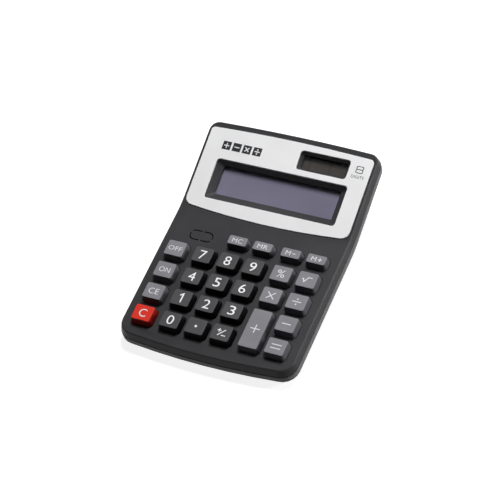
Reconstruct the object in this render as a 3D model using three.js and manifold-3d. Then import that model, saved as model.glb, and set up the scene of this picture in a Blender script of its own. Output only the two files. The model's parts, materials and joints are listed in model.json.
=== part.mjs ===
// A small desk calculator: twenty-seven keys on a flat deck, and a raised display with a solar window.
//
// Deck frame, in millimetres: X runs across the keys, Y up the deck towards the display,
// and Z out of the deck.
// The centre of the bottom key row is at y = 0, and the key tops are at z = 0.
// The display frame starts at the crease where the deck bends up, and lies on the case under the panel.
// The base frame lies on the flat underside, so its Z is the true vertical.

import * as THREE from 'three';
import { mergeVertices } from 'three/addons/utils/BufferGeometryUtils.js';
import Module from 'manifold-3d';

const wasm = await Module();
wasm.setup();

// ---------- driving dimensions ----------

const gap = 0.3; // between pieces that touch on the real object
const running = 0.35; // round a key in its hole, and round anything else that moves

// Key grid
const columnPitch = 15;
const groupGap = 1.56; // extra space either side of the digit block
const rowPitch = 14.36;
const memoryOffset = 13.57; // from the top digit row to the memory row
const keyGapX = 2.4; // between neighbouring keys where they meet the deck
const keyGapY = 3.14;
const memoryKeyDepth = 7.34; // short keys of the top row, where they meet the deck
const keyProud = 4.3; // key top above the deck
const keyRunOut = 1.2; // how far a key's side leans out on its way down to the deck
const keyRadius = 2.2; // corner of a key at the deck
const keyEdge = 0.4; // bevel round a key top
const keyTravel = 1.2;
const keyWall = 1.2;
const keyRoof = 2.2; // thickness of a key's top
const plungerSize = 3.6;
const flangeReach = 0.8; // lip that holds a key under the deck
const flangeThickness = 0.9;

// Case
const sideBorder = 6.64; // side of the outer keys to the rim
const frontBorder = 9.49; // front of the bottom keys to the rim's crown
const creaseBorder = 13.93; // back of the memory keys to the crease
const displayLength = 52.8; // crease to the back edge, along the display
const displayRise = THREE.MathUtils.degToRad(13.24); // how much steeper the display is than the deck
const deckTilt = THREE.MathUtils.degToRad(4); // the deck's slope when the calculator stands on a table
const creaseRadius = 50;
const frontCornerRadius = 9;
const backCornerRadius = 6.5;
const frontCrown = 3.0; // how far the front edge bows out
const backCrown = 1.0;
const wall = 1.8;
const topDepth = 4.4; // deck surface to the parting line
const frontDrop = 1.6; // foot of the rim to the flat underside, at the front
const topDraft = 1.2; // how far the upper wall leans out between the deck and the parting line
const rimStep = 0.15; // the upper case stops this far inside the lower one
const rimBevel = 0.6;
const partingGap = 0.35;
const underTaper = 0.625; // the underside draws in this much for each millimetre down
const floorClear = 0.65; // floor to the front board screws
const floorWall = 1.6;
const tongueThickness = 0.8; // rib on the lower rim that stands inside the upper wall
const tongueHeight = 1.2;
const tabSlot = 0.6; // width of the slots round the blanked-off switch opening
const tabLength = 14;
const tabDepth = 6.5;
const tabSide = 21.5; // middle of the slots to the rim
const tabOffset = 13.8; // from the top row of digits
const tabBridge = 1.3;
const tabBridgeOffset = 0.8; // end bridges, from the oval's long axis

// Display panel and windows, in the display frame
const panelMargin = 3.13; // panel edge to the rim
const panelStart = 1.0; // corner of the panel's lower edge, from the crease
const panelBack = 4.7; // corner of the panel's upper edge, from the back of the display
const panelBowFront = 2.7;
const panelBowBack = 1.2;
const panelThickness = 1.4;
const panelProud = 0.8;
const lcdSide = 12.7; // side of the display's window to the rim
const lcdSlope = 4.2; // how far the window's side walls slope in
const lcdDrop = 3.0; // display surface to the foot of the window's sloping walls
const solarSide = 30.6; // middle of the solar window to the rim
const solarDrop = 2.1;
const windowRadius = 1.8;
const wellWall = 1.6;
const lensMargin = 2.0; // lens past its opening, all round
const lensThickness = 1.0;
const lcdThickness = 1.8;
const reflectorThickness = 0.3;
const holderThickness = 1.2;
const solarThickness = 1.1;
const stakeRadius = 0.9;
const panelCornerFront = 4.5;
const panelCornerBack = 2;

// Keypad, board and fasteners
const sheetThickness = 0.8;
const domeRadius = 2.3;
const boardThickness = 1.2;
const blobRadius = 5;
const blobHeight = 1.4;
const bossRadius = 2.4;
const postRadius = 2.0;
const screwRadius = 1.0;
const screwHead = 1.9;
const screwHeadHeight = 1.2;
const seatThickness = 1.5;
const wellRadius = 4.0;
const bossDrop = 6.2; // deck surface to the end of a case boss
const backBossDrop = 10.6;
const threadLength = 4.0;
const sideBossInset = 7; // middle screws, from the inside of the rim

// Base: feet and battery, in the base frame
const footRadius = 4;
const footProud = 1.0;
const footRecess = 0.7;
const footFront = 19; // centre of the front feet, from the front edge
const footBack = 29;
const footInset = 6; // foot to the edge of the flat underside
const cellRadius = 5.8;
const cellHeight = 3.05;
const batteryX = 0;
const coverWidth = 20;
const coverDepth = 26;
const coverThickness = 2.0;
const coverRadius = 2.5;
const coverSeat = 0.5; // left under the cover screw's head
const stripThickness = 0.4;
const stripWidth = 3.2;
const ribHeight = 1.2; // stiffening ribs on the floor
const ribInset = 2;
const leadRadius = 0.6;
const ribbonThickness = 0.2;

// ---------- sizes that follow ----------

const keyWidth = columnPitch - keyGapX;
const keyDepth = rowPitch - keyGapY;
const memoryRow = 3 * rowPitch + memoryOffset;
const outerColumn = 2.5 * columnPitch + groupGap;
const halfWidth = outerColumn + keyWidth / 2 + sideBorder;
const front = -keyDepth / 2 - frontBorder;
const deckTop = -keyProud;
const crease = memoryRow + memoryKeyDepth / 2 + creaseBorder;
const topSlope = topDraft / topDepth;
const tongueInset = rimStep + wall + (tongueHeight - partingGap) * topSlope + gap;
const rimWall = tongueInset + tongueThickness;
const back = crease + displayLength * Math.cos(displayRise) + topDraft + rimStep;
const arcReach = creaseRadius * Math.tan(displayRise / 2);
const panelEnd = displayLength - panelBack;
const lcdWidth = 2 * (halfWidth - lcdSide);
const lcdWindow = { x: 0, y: 18.4, width: lcdWidth, depth: 24 };
const lcdOpening = { x: 0, y: 19.45, width: lcdWidth - 2 * lcdSlope, depth: 16.9 };
const solarX = halfWidth - solarSide;
const solarWindow = { x: solarX, y: displayLength - 13.25, width: 29.85, depth: 11.5 };
const solarOpening = { x: solarX - 0.1, y: displayLength - 13.05, width: 25.8, depth: 7.9 };
const backBossX = solarX - 21.4;
const backBossY = crease + solarWindow.y * Math.cos(displayRise) - 1;
const ribbonWidth = lcdOpening.width - 22;
const tabX = tabSide - halfWidth;

const flangeTop = deckTop - wall - gap;
const flangeFoot = flangeTop - flangeThickness;
const domeTop = flangeFoot - gap;
const sheetTop = flangeFoot - keyTravel - gap;
const boardTop = sheetTop - sheetThickness - gap;
const boardFoot = boardTop - boardThickness;

const keypadHalf = outerColumn + keyWidth / 2 + flangeReach;
const keypadFront = -(keyDepth / 2 + flangeReach);
const keypadBack = memoryRow + memoryKeyDepth / 2 + flangeReach;
const frontBossX = outerColumn - 2;
const boardTabHalf = frontBossX - 2 * wellRadius - 3; // half the width of the board's front tab
const frontPostX = boardTabHalf - postRadius - 2;
const postFront = keypadFront - gap - postRadius;
const postBack = keypadBack + 2 * gap + postRadius;
const boardFront = front + frontCrown * (boardTabHalf / halfWidth) ** 2 + rimWall + gap;
const boardBack = postBack + postRadius + gap;
const bossFront = keypadFront - 2 * gap - bossRadius;
const bossMiddle = keypadBack + 2 * gap + bossRadius;
const middleBossX = halfWidth - rimWall - sideBossInset;
const backPostX = middleBossX - 2 * wellRadius - postRadius;
const screwSpace = 2 * gap + screwHeadHeight + floorClear; // board to floor at the front screws
const underFront = boardFoot + gap - screwSpace - floorWall + (postFront - front) * Math.tan(deckTilt);
const rimDepth = deckTop - underFront - frontDrop; // deck surface to the foot of the rim

// ---------- frames ----------

const displayFrame = new THREE.Matrix4()
  .makeTranslation(0, crease, deckTop)
  .multiply(new THREE.Matrix4().makeRotationX(displayRise));
const baseFrame = new THREE.Matrix4()
  .makeTranslation(0, front, underFront)
  .multiply(new THREE.Matrix4().makeRotationX(-deckTilt));

// Height of the upper surface at y: the flat deck, an arc through the crease, then the display's slope.
function surface(y) {
  const start = crease - arcReach;
  const end = crease + arcReach * Math.cos(displayRise);
  if (y <= start) return deckTop;
  if (y >= end) return deckTop + (y - crease) * Math.tan(displayRise);
  return deckTop + creaseRadius - Math.sqrt(creaseRadius ** 2 - (y - start) ** 2);
}

// The flat underside's height at y, in the deck frame.
function underside(y) {
  return underFront - (y - front) * Math.tan(deckTilt);
}

// The places along y where the upper surface bends.
function bendStations() {
  const steps = 4;
  const start = crease - arcReach;
  return Array.from({ length: steps + 1 }, (_, i) =>
    start + creaseRadius * Math.sin((displayRise * i) / steps));
}

// ---------- solids and joins ----------

function toSolid(geometry) {
  const bare = geometry.clone();
  bare.deleteAttribute('normal');
  bare.deleteAttribute('uv');
  const merged = mergeVertices(bare, 1e-4);
  const mesh = new wasm.Mesh({
    numProp: 3,
    vertProperties: new Float32Array(merged.attributes.position.array),
    triVerts: new Uint32Array(merged.index.array),
  });
  mesh.merge();
  return new wasm.Manifold(mesh);
}

function toGeometry(solid) {
  const mesh = solid.getMesh();
  const geometry = new THREE.BufferGeometry();
  geometry.setAttribute('position', new THREE.BufferAttribute(mesh.vertProperties, 3));
  geometry.setIndex(new THREE.BufferAttribute(mesh.triVerts, 1));
  return geometry;
}

function join(solid, geometries) {
  return geometries.reduce((sum, geometry) => sum.add(toSolid(geometry)), solid);
}

function cut(solid, geometries) {
  return geometries.reduce((rest, geometry) => rest.subtract(toSolid(geometry)), solid);
}

// A closed skin through rings of points that all have the same count, anticlockwise seen from +Z,
// from the lowest ring to the highest, with a flat or bent cap on each end.
function loft(rings) {
  const count = rings[0].length;
  const positions = rings.flat().flatMap((p) => [p.x, p.y, p.z]);
  const index = [];
  for (let row = 0; row + 1 < rings.length; row += 1) {
    for (let i = 0; i < count; i += 1) {
      const a = row * count + i;
      const b = row * count + ((i + 1) % count);
      index.push(a, b, b + count, a, b + count, a + count);
    }
  }
  const capOf = (ring) =>
    THREE.ShapeUtils.triangulateShape(ring.map((p) => new THREE.Vector2(p.x, p.y)), []);
  const last = (rings.length - 1) * count;
  capOf(rings[0]).forEach(([a, b, c]) => index.push(a, c, b));
  capOf(rings[rings.length - 1]).forEach(([a, b, c]) => index.push(last + a, last + b, last + c));
  const geometry = new THREE.BufferGeometry();
  geometry.setAttribute('position', new THREE.Float32BufferAttribute(positions, 3));
  geometry.setIndex(index);
  return geometry;
}

function arc(x, y, radius, from, to, steps) {
  return Array.from({ length: steps + 1 }, (_, i) => {
    const angle = from + ((to - from) * i) / steps;
    return new THREE.Vector2(x + radius * Math.cos(angle), y + radius * Math.sin(angle));
  });
}

// A rectangle with round corners, anticlockwise, centred on x, y.
function roundedRectangle(x, y, width, depth, radius, steps = 2) {
  const r = Math.min(radius, width / 2 - 0.05, depth / 2 - 0.05);
  const dx = width / 2 - r;
  const dy = depth / 2 - r;
  const quarter = Math.PI / 2;
  return [
    ...arc(x + dx, y - dy, r, -quarter, 0, steps),
    ...arc(x + dx, y + dy, r, 0, quarter, steps),
    ...arc(x - dx, y + dy, r, quarter, 2 * quarter, steps),
    ...arc(x - dx, y - dy, r, 2 * quarter, 3 * quarter, steps),
  ];
}

function atHeight(points, z) {
  return points.map((p) => new THREE.Vector3(p.x, p.y, z));
}

function prism(points, z0, z1) {
  return loft([atHeight(points, z0), atHeight(points, z1)]);
}

function block(x0, x1, y0, y1, z0, z1) {
  return new THREE.BoxGeometry(x1 - x0, y1 - y0, z1 - z0)
    .translate((x0 + x1) / 2, (y0 + y1) / 2, (z0 + z1) / 2);
}

function plate({ x, y, width, depth }, radius, z0, z1, steps = 2) {
  return prism(roundedRectangle(x, y, width, depth, radius, steps), z0, z1);
}

function grown(rectangle, by) {
  return { ...rectangle, width: rectangle.width + 2 * by, depth: rectangle.depth + 2 * by };
}

function rod(x, y, radius, z0, z1, sides = 16) {
  return new THREE.CylinderGeometry(radius, radius, z1 - z0, sides)
    .rotateX(Math.PI / 2)
    .translate(x, y, (z0 + z1) / 2);
}

// The clearance round a screw's shaft.
function pilotHole(x, y, z0, z1) {
  return rod(x, y, screwRadius + gap, z0, z1, 12);
}

// A round piece about Z, from a profile of [radius, z] points that starts and ends on the axis.
function turned(profile, sides = 20) {
  const points = profile.map(([r, z]) => new THREE.Vector2(r, z));
  return new THREE.LatheGeometry(points, sides).rotateX(Math.PI / 2);
}

// A flat strip, thickness t, that follows points of [y, z] and is as wide as x0 to x1.
function strip(points, t, x0, x1) {
  const curve = new THREE.SplineCurve(points.map(([y, z]) => new THREE.Vector2(y, z)));
  const steps = 3 * (points.length - 1);
  const side = (offset) => Array.from({ length: steps + 1 }, (_, i) => {
    const p = curve.getPoint(i / steps);
    const along = curve.getTangent(i / steps);
    return new THREE.Vector2(p.x - along.y * offset, p.y + along.x * offset);
  });
  const outline = [...side(-t / 2), ...side(t / 2).reverse()];
  return alongX(outline, x0, x1);
}

// Extrudes an outline drawn in Y and Z along X.
function alongX(outline, x0, x1) {
  const swap = new THREE.Matrix4().makeBasis(
    new THREE.Vector3(0, 1, 0), new THREE.Vector3(0, 0, 1), new THREE.Vector3(1, 0, 0));
  const options = { depth: x1 - x0, bevelEnabled: false, steps: 1 };
  return new THREE.ExtrudeGeometry(new THREE.Shape(outline), options)
    .applyMatrix4(swap)
    .translate(x0, 0, 0);
}

// ---------- case shapes ----------

// The case's outline seen from above, drawn in by inset: bowed front and back edges, round corners,
// and a point on each side wherever the upper surface bends.
function caseOutline(inset) {
  const half = halfWidth - inset;
  const rf = Math.max(frontCornerRadius - inset, 1);
  const rb = Math.max(backCornerRadius - inset, 1);
  const quarter = Math.PI / 2;
  const low = (x) => front + inset + frontCrown * (x / half) ** 2;
  const high = (x) => back - inset - backCrown * (x / half) ** 2;
  const edge = (r) => [-0.66, -0.33, 0, 0.33, 0.66].map((share) => share * (half - r));
  const frontCorner = low(half - rf) + rf;
  const backCorner = high(half - rb) - rb;
  const sides = bendStations();
  return [
    ...edge(rf).map((x) => new THREE.Vector2(x, low(x))),
    ...arc(half - rf, frontCorner, rf, -quarter, 0, 5),
    ...sides.map((y) => new THREE.Vector2(half, y)),
    ...arc(half - rb, backCorner, rb, 0, quarter, 5),
    ...edge(rb).reverse().map((x) => new THREE.Vector2(x, high(x))),
    ...arc(rb - half, backCorner, rb, quarter, 2 * quarter, 5),
    ...[...sides].reverse().map((y) => new THREE.Vector2(-half, y)),
    ...arc(rf - half, frontCorner, rf, 2 * quarter, 3 * quarter, 5),
  ];
}

// A wall that follows the outline. Each station is [inset, depth below the upper surface], deepest first.
function outlineWall(stations) {
  return loft(stations.map(([inset, depth]) =>
    caseOutline(inset).map((p) => new THREE.Vector3(p.x, p.y, surface(p.y) - depth))));
}

// Everything between two depths below the upper surface.
function layer(shallow, deep) {
  const reach = 40;
  const stations = [front - reach, ...bendStations(), back + reach];
  const outline = [
    ...stations.map((y) => new THREE.Vector2(y, surface(y) - deep)),
    ...[...stations].reverse().map((y) => new THREE.Vector2(y, surface(y) - shallow)),
  ];
  return alongX(outline, -halfWidth - reach, halfWidth + reach);
}

// Everything above a plane parallel to the underside and raised from it.
function aboveUnderside(raised) {
  const reach = 40;
  return block(-halfWidth - reach, halfWidth + reach, -reach, back - front + reach, raised, raised + 100)
    .applyMatrix4(baseFrame);
}

const upperWall = (thickness) => {
  const at = (depth) => [rimStep + (topDepth - depth) * topSlope + thickness, depth];
  return [at(30), at(rimBevel)];
};

const lowerWall = (thickness) => [
  [30 * underTaper + thickness, rimDepth + 30],
  [thickness, rimDepth],
  [thickness, -20],
];

// ---------- keys ----------

const rowHeights = [0, 1, 2, 3].map((row) => row * rowPitch);

function columnX(column) {
  const step = column < 1 ? -groupGap : 0;
  return (column - 2.5) * columnPitch + (column > 3 ? groupGap : step);
}

const keyColours = {
  digit: { color: 0x48484a, roughness: 0.5, metalness: 0 },
  function: { color: 0x808085, roughness: 0.5, metalness: 0 },
  clear: { color: 0xcd3a2e, roughness: 0.45, metalness: 0 },
};

// name, column, row and colour of each key; rows 0 to 3 are full height, row 4 is the memory row.
const keys = [
  ['key_off', 0, 3, 'function'],
  ['key_on', 0, 2, 'function'],
  ['key_ce', 0, 1, 'function'],
  ['key_c', 0, 0, 'clear'],
  ['key_7', 1, 3, 'digit'],
  ['key_4', 1, 2, 'digit'],
  ['key_1', 1, 1, 'digit'],
  ['key_0', 1, 0, 'digit'],
  ['key_8', 2, 3, 'digit'],
  ['key_5', 2, 2, 'digit'],
  ['key_2', 2, 1, 'digit'],
  ['key_point', 2, 0, 'digit'],
  ['key_9', 3, 3, 'digit'],
  ['key_6', 3, 2, 'digit'],
  ['key_3', 3, 1, 'digit'],
  ['key_sign', 3, 0, 'digit'],
  ['key_percent', 4, 3, 'function'],
  ['key_times', 4, 2, 'function'],
  ['key_plus', 4, 0, 'function'],
  ['key_root', 5, 3, 'function'],
  ['key_divide', 5, 2, 'function'],
  ['key_minus', 5, 1, 'function'],
  ['key_equals', 5, 0, 'function'],
  ['key_mc', 2, 4, 'function'],
  ['key_mr', 3, 4, 'function'],
  ['key_m_minus', 4, 4, 'function'],
  ['key_m_plus', 5, 4, 'function'],
].map(([name, column, row, colour]) => {
  const tall = name === 'key_plus';
  const short = row === 4;
  return {
    name,
    colour,
    x: columnX(column),
    y: short ? memoryRow : rowHeights[row] + (tall ? rowPitch / 2 : 0),
    width: keyWidth,
    depth: short ? memoryKeyDepth : keyDepth + (tall ? rowPitch : 0),
  };
});

// A hollow cap with a plunger under its middle and a flange that stays below the deck.
function keyCap(width, depth) {
  const ring = (grow, z, radius) =>
    atHeight(roundedRectangle(0, 0, width + 2 * grow, depth + 2 * grow, radius), z);
  const plunger = (z) => atHeight(roundedRectangle(0, 0, plungerSize, plungerSize, 1), z);
  return loft([
    plunger(flangeFoot),
    plunger(-keyRoof),
    ring(-keyRunOut - keyWall / 2, -keyRoof, 0.6),
    ring(-keyWall, flangeFoot, keyRadius - keyWall / 2),
    ring(flangeReach, flangeFoot, keyRadius),
    ring(flangeReach, flangeTop, keyRadius),
    ring(0, flangeTop, keyRadius),
    ring(0, deckTop, keyRadius),
    ring(-keyRunOut + keyEdge * 0.15, -keyEdge, keyRadius - 0.5),
    ring(-keyRunOut - keyEdge, 0, keyRadius - 0.9),
  ]);
}

// ---------- case halves ----------

const caseScrews = [
  { name: 'case_screw_front_left', x: -frontBossX, y: bossFront, drop: bossDrop },
  { name: 'case_screw_front_right', x: frontBossX, y: bossFront, drop: bossDrop },
  { name: 'case_screw_middle_left', x: -middleBossX, y: bossMiddle, drop: bossDrop },
  { name: 'case_screw_middle_right', x: middleBossX, y: bossMiddle, drop: bossDrop },
  { name: 'case_screw_back', x: backBossX, y: backBossY, drop: backBossDrop },
].map((screw) => {
  const bossEnd = surface(screw.y) - screw.drop;
  return { ...screw, bossEnd, seatTop: bossEnd - gap, seatFoot: bossEnd - gap - seatThickness };
});

const boardScrews = [
  { name: 'board_screw_front_left', x: -frontPostX, y: postFront },
  { name: 'board_screw_front_right', x: frontPostX, y: postFront },
  { name: 'board_screw_back_left', x: -backPostX, y: postBack },
  { name: 'board_screw_back_right', x: backPostX, y: postBack },
];

const stakes = [-1, 1].flatMap((side) => [-1, 1].map((end) => ({
  x: side * (lcdWindow.width / 2 + wellWall - stakeRadius),
  y: lcdWindow.y + end * (lcdWindow.depth / 2 - 3),
})));

const lensSeat = (opening) => grown(opening, lensMargin + gap);
const lcdWellFoot = -lcdDrop - gap - lensThickness;
const solarWellFoot = -solarDrop - gap - lensThickness;
const lcdTop = lcdWellFoot - gap;
const reflectorTop = lcdTop - lcdThickness - gap;
const holderTop = reflectorTop - reflectorThickness - gap;
const holderFoot = holderTop - holderThickness;
const panelFoot = panelProud - panelThickness;

// A window with sloping walls: wide at the panel and narrow at the lens.
function hopper(window, opening, drop) {
  const rings = [
    [opening, -drop - 0.5, windowRadius / 2],
    [opening, -drop, windowRadius / 2],
    [window, panelFoot - gap, windowRadius],
    [window, panelProud + 5, windowRadius],
  ];
  return loft(rings.map(([{ x, y, width, depth }, z, radius]) =>
    atHeight(roundedRectangle(x, y, width, depth, radius, 3), z)));
}

// The panel's outline: straight sides, bowed front and back edges, larger corners at the front.
function panelOutline(grow) {
  const half = halfWidth - panelMargin + grow;
    const quarter = Math.PI / 2;
  const bow = (x, sag) => sag * (1 - (x / half) ** 2);
  const edge = (r) => [-0.75, -0.5, -0.25, 0, 0.25, 0.5, 0.75].map((share) => share * (half - r));
  const low = (x) => panelStart - grow - bow(x, panelBowFront);
  const high = (x) => panelEnd + grow + bow(x, panelBowBack);
  const rf = panelCornerFront + grow;
  const rb = panelCornerBack + grow;
  return [
    ...edge(rf).map((x) => new THREE.Vector2(x, low(x))),
    ...arc(half - rf, low(half - rf) + rf, rf, -quarter, 0, 4),
    ...arc(half - rb, high(half - rb) - rb, rb, 0, quarter, 3),
    ...edge(rb).reverse().map((x) => new THREE.Vector2(x, high(x))),
    ...arc(rb - half, high(half - rb) - rb, rb, quarter, 2 * quarter, 3),
    ...arc(rf - half, low(half - rf) + rf, rf, 2 * quarter, 3 * quarter, 4),
  ];
}

// The slots round a blanked-off switch opening: a long oval, broken by four bridges.
function tabSlots() {
  const y = rowHeights[3] + tabOffset;
  const oval = (grow, z0, z1) =>
    prism(roundedRectangle(tabX, y, tabLength + 2 * grow, tabDepth + 2 * grow, tabDepth, 6), z0, z1);
  const z0 = deckTop - wall - 1;
  const z1 = deckTop + 1;
  const ring = toSolid(oval(0, z0, z1)).subtract(toSolid(oval(-tabSlot, z0 - 1, z1 + 1)));
  const bridge = tabBridge / 2;
  const reach = tabLength;
  return cut(ring, [
    block(tabX - bridge, tabX + bridge, y - reach, y + reach, z0 - 1, z1 + 1),
    block(tabX - reach, tabX, y + tabBridgeOffset, y + tabBridgeOffset + tabBridge, z0 - 1, z1 + 1),
    block(tabX, tabX + reach, y - tabBridgeOffset - tabBridge, y - tabBridgeOffset, z0 - 1, z1 + 1),
  ]);
}

function topCase() {
  const outerStations = upperWall(0);
  const [bevelInset, bevelDepth] = outerStations[1];
  const outer = outlineWall([...outerStations, [bevelInset + 10, bevelDepth - 10]]);
  const inner = outlineWall([
    upperWall(wall)[0],
    [upperWall(wall)[1][0] + 10 * topSlope, rimBevel - 10],
  ]);
  const shell = toSolid(outer)
    .intersect(toSolid(layer(0, topDepth)))
    .subtract(toSolid(inner).intersect(toSolid(layer(wall, 60))));
  const inDisplay = (geometry) => geometry.applyMatrix4(displayFrame);
  const ribs = [
    ...caseScrews.map((s) => rod(s.x, s.y, bossRadius, s.bossEnd, surface(s.y) - wall / 2)),
    ...boardScrews.map((s) => rod(s.x, s.y, postRadius, boardTop + gap, deckTop - wall / 2)),
    inDisplay(plate(grown(lcdWindow, wellWall), windowRadius + wellWall, lcdWellFoot, -wall / 2)),
    inDisplay(plate(grown(solarWindow, wellWall), windowRadius + wellWall, solarWellFoot, -wall / 2)),
    ...stakes.map((s) => inDisplay(rod(s.x, s.y, stakeRadius, holderFoot - 0.5, lcdWellFoot + 0.5, 8))),
  ];
  const holes = [
    ...caseScrews.map((s) => pilotHole(s.x, s.y, s.bossEnd - 1, s.bossEnd + threadLength + gap)),
    ...boardScrews.map((s) => pilotHole(s.x, s.y, boardTop, deckTop - wall / 2 - gap)),
    inDisplay(prism(panelOutline(gap), panelFoot - gap, panelProud + 5)),
    inDisplay(hopper(lcdWindow, lcdOpening, lcdDrop)),
    inDisplay(hopper(solarWindow, solarOpening, solarDrop)),
    inDisplay(plate(lensSeat(lcdOpening), 1, lcdWellFoot - 1, -lcdDrop)),
    inDisplay(plate(lensSeat(solarOpening), 1, solarWellFoot - 1, -solarDrop)),
    ...keys.map((key) =>
      plate(grown(key, running), keyRadius + running, deckTop - wall - 1, deckTop + 1, 3)),
  ];
  return cut(join(shell, ribs), holes).subtract(tabSlots());
}

const feet = [
  ['foot_front_left', -1, footFront],
  ['foot_front_right', 1, footFront],
  ['foot_back_left', -1, back - front - footBack],
  ['foot_back_right', 1, back - front - footBack],
].map(([name, side, y]) => {
  const drawnIn = (surface(front + y) - rimDepth - underside(front + y)) * underTaper;
  return { name, y, x: side * (halfWidth - drawnIn - footRadius - footInset) };
});

const batteryY = crease - front + 14; // centre of the battery cover, in the base frame
const cellOffset = -5;
const coverScrewOffset = 9.5;
const cellFoot = coverThickness + gap;
const cellTop = cellFoot + cellHeight;
const leafFoot = cellTop + gap;
const pocketTop = leafFoot + stripThickness + gap;
const batteryBoxTop = pocketTop + 1.2;
const batteryBoxWall = 2;
const plusX = cellRadius + 3 * gap;

function bottomCase() {
  const outer = toSolid(outlineWall(lowerWall(0)));
  const inside = outer.intersect(toSolid(aboveUnderside(0)));
  const body = inside.intersect(toSolid(layer(topDepth + partingGap, 80)));
  const hollow = toSolid(outlineWall(lowerWall(rimWall))).intersect(toSolid(aboveUnderside(floorWall)));
  const tongueTop = topDepth + partingGap - tongueHeight;
  const tongue = toSolid(outlineWall([[tongueInset, rimDepth], [tongueInset, -20]]))
    .intersect(toSolid(layer(tongueTop, topDepth + 1)));
  const inBase = (geometry) => geometry.applyMatrix4(baseFrame);
  const shell = body.add(tongue).subtract(hollow);
  const wells = caseScrews.map((s) => rod(s.x, s.y, wellRadius, underside(s.y) - 5, s.seatTop));
  const opening = { x: batteryX, y: batteryY, width: coverWidth, depth: coverDepth };
  const box = inBase(plate(grown(opening, batteryBoxWall), coverRadius, 0.5, batteryBoxTop));
  const ribs = [0.25, 0.5, 0.75].map((share) => {
    const y = share * (crease - front);
    const half = halfWidth - 2 * rimWall - ribInset;
    return inBase(block(-half, half, y - 0.6, y + 0.6, floorWall - 0.5, floorWall + ribHeight));
  });
  const cellX = batteryX;
  const cellY = batteryY + cellOffset;
  const slotFront = cellY - stripWidth / 2 - gap;
  const slotBack = cellY + stripWidth / 2 + gap;
  const slotOuter = plusX + stripThickness + gap;
  const holes = [
    ...caseScrews.map((s) => rod(s.x, s.y, screwHead + 2 * gap, underside(s.y) - 5, s.seatFoot)),
    ...caseScrews.map((s) => pilotHole(s.x, s.y, s.seatFoot - 1, s.seatTop + 1)),
    ...caseScrews.map((s) => rod(s.x, s.y, bossRadius + running, s.seatTop, s.seatTop + 30)),
    ...boardScrews.map((s) => rod(s.x, s.y, postRadius + running, boardTop, boardTop + 30)),
    ...feet.map((f) => inBase(rod(f.x, f.y, footRadius + gap, -1, footRecess, 24))),
    inBase(plate(grown(opening, running), coverRadius + running, -1, coverThickness + gap, 3)),
    inBase(rod(cellX, cellY, cellRadius + running, 1, pocketTop, 24)),
    inBase(pilotHole(cellX, batteryY + coverScrewOffset, 1, coverThickness + threadLength + gap)),
    inBase(block(cellX + plusX - 2, cellX + slotOuter, slotFront, slotBack, 1, batteryBoxTop + 1)),
    inBase(block(cellX - slotOuter, cellX, slotFront, slotBack, leafFoot - gap, pocketTop - 0.1)),
    inBase(block(cellX - slotOuter, cellX - plusX + gap, slotFront, slotBack,
      leafFoot - gap, batteryBoxTop + 1)),
  ];
  const fitted = join(shell, [...wells, box, ...ribs]).intersect(inside.add(tongue));
  return cut(fitted, holes);
}

// ---------- inner pieces ----------

function screw(shaftLength) {
  const tip = screwHeadHeight + shaftLength;
  return turned([
    [0, 0], [screwHead - 0.3, 0], [screwHead, 0.3], [screwHead, screwHeadHeight],
    [screwRadius, screwHeadHeight], [screwRadius, tip], [0, tip],
  ], 10);
}

// One rubber sheet with a dome under each key.
function membrane() {
  const middle = (keypadFront + keypadBack) / 2;
  const outline = { x: 0, y: middle, width: 2 * keypadHalf, depth: keypadBack - keypadFront };
  const sheet = plate(outline, keyRadius, sheetTop - sheetThickness, sheetTop);
  const foot = sheetTop - 0.2;
  const domes = keys.map((key) =>
    new THREE.CylinderGeometry(domeRadius * 0.7, domeRadius, domeTop - foot, 8)
      .rotateX(Math.PI / 2)
      .translate(key.x, key.y, (domeTop + foot) / 2));
  return join(toSolid(sheet), domes);
}

// The board clears the case bosses with a narrower tab at each end.
function mainBoard() {
  const backTab = middleBossX - wellRadius - gap;
  const wideFront = bossFront + wellRadius + gap;
  const wideBack = bossMiddle - wellRadius - gap;
  const outline = [
    [-boardTabHalf, boardFront], [boardTabHalf, boardFront],
    [boardTabHalf, wideFront], [keypadHalf, wideFront],
    [keypadHalf, wideBack], [backTab, wideBack],
    [backTab, boardBack], [-backTab, boardBack],
    [-backTab, wideBack], [-keypadHalf, wideBack],
    [-keypadHalf, wideFront], [-boardTabHalf, wideFront],
  ].map(([x, y]) => new THREE.Vector2(x, y));
  const holes = boardScrews.map((s) => pilotHole(s.x, s.y, boardFoot - 1, boardTop + 1));
  return cut(toSolid(prism(outline, boardFoot, boardTop)), holes);
}

function displayPanel() {
  const windows = [lcdWindow, solarWindow].map((w) =>
    plate(w, windowRadius, panelFoot - 1, panelProud + 1, 3));
  return cut(toSolid(prism(panelOutline(0), panelFoot, panelProud)), windows);
}

function lcdHolder() {
  const frame = { ...lcdWindow, width: lcdWindow.width + 2 * wellWall + 1.4, depth: lcdWindow.depth - 1 };
  return cut(toSolid(plate(frame, 1.5, holderFoot, holderTop)), [
    plate(grown(frame, -5.5), 1.5, holderFoot - 1, holderTop + 1),
    ...stakes.map((s) => rod(s.x, s.y, stakeRadius + gap, holderFoot - 1, holderTop + 1, 10)),
  ]);
}

function batteryCover() {
  const at = { x: 0, y: 0, width: coverWidth, depth: coverDepth };
  return cut(toSolid(plate(at, coverRadius, 0, coverThickness, 3)), [
    pilotHole(0, coverScrewOffset, -1, coverThickness + 1),
    rod(0, coverScrewOffset, screwHead + gap, -1, coverThickness - coverSeat, 20),
  ]);
}

// Both contacts are bent strips: the plus one stands beside the cell, the minus one lies over it.
const tagFoot = batteryBoxTop + 2 * gap;
const tagTop = tagFoot + stripThickness;
const tagLength = 3;

function contactPlus() {
  return bentStrip([
    [plusX, cellFoot + gap], [plusX + stripThickness, cellFoot + gap],
    [plusX + stripThickness, tagFoot], [plusX + tagLength, tagFoot],
    [plusX + tagLength, tagTop], [plusX, tagTop],
  ]);
}

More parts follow.
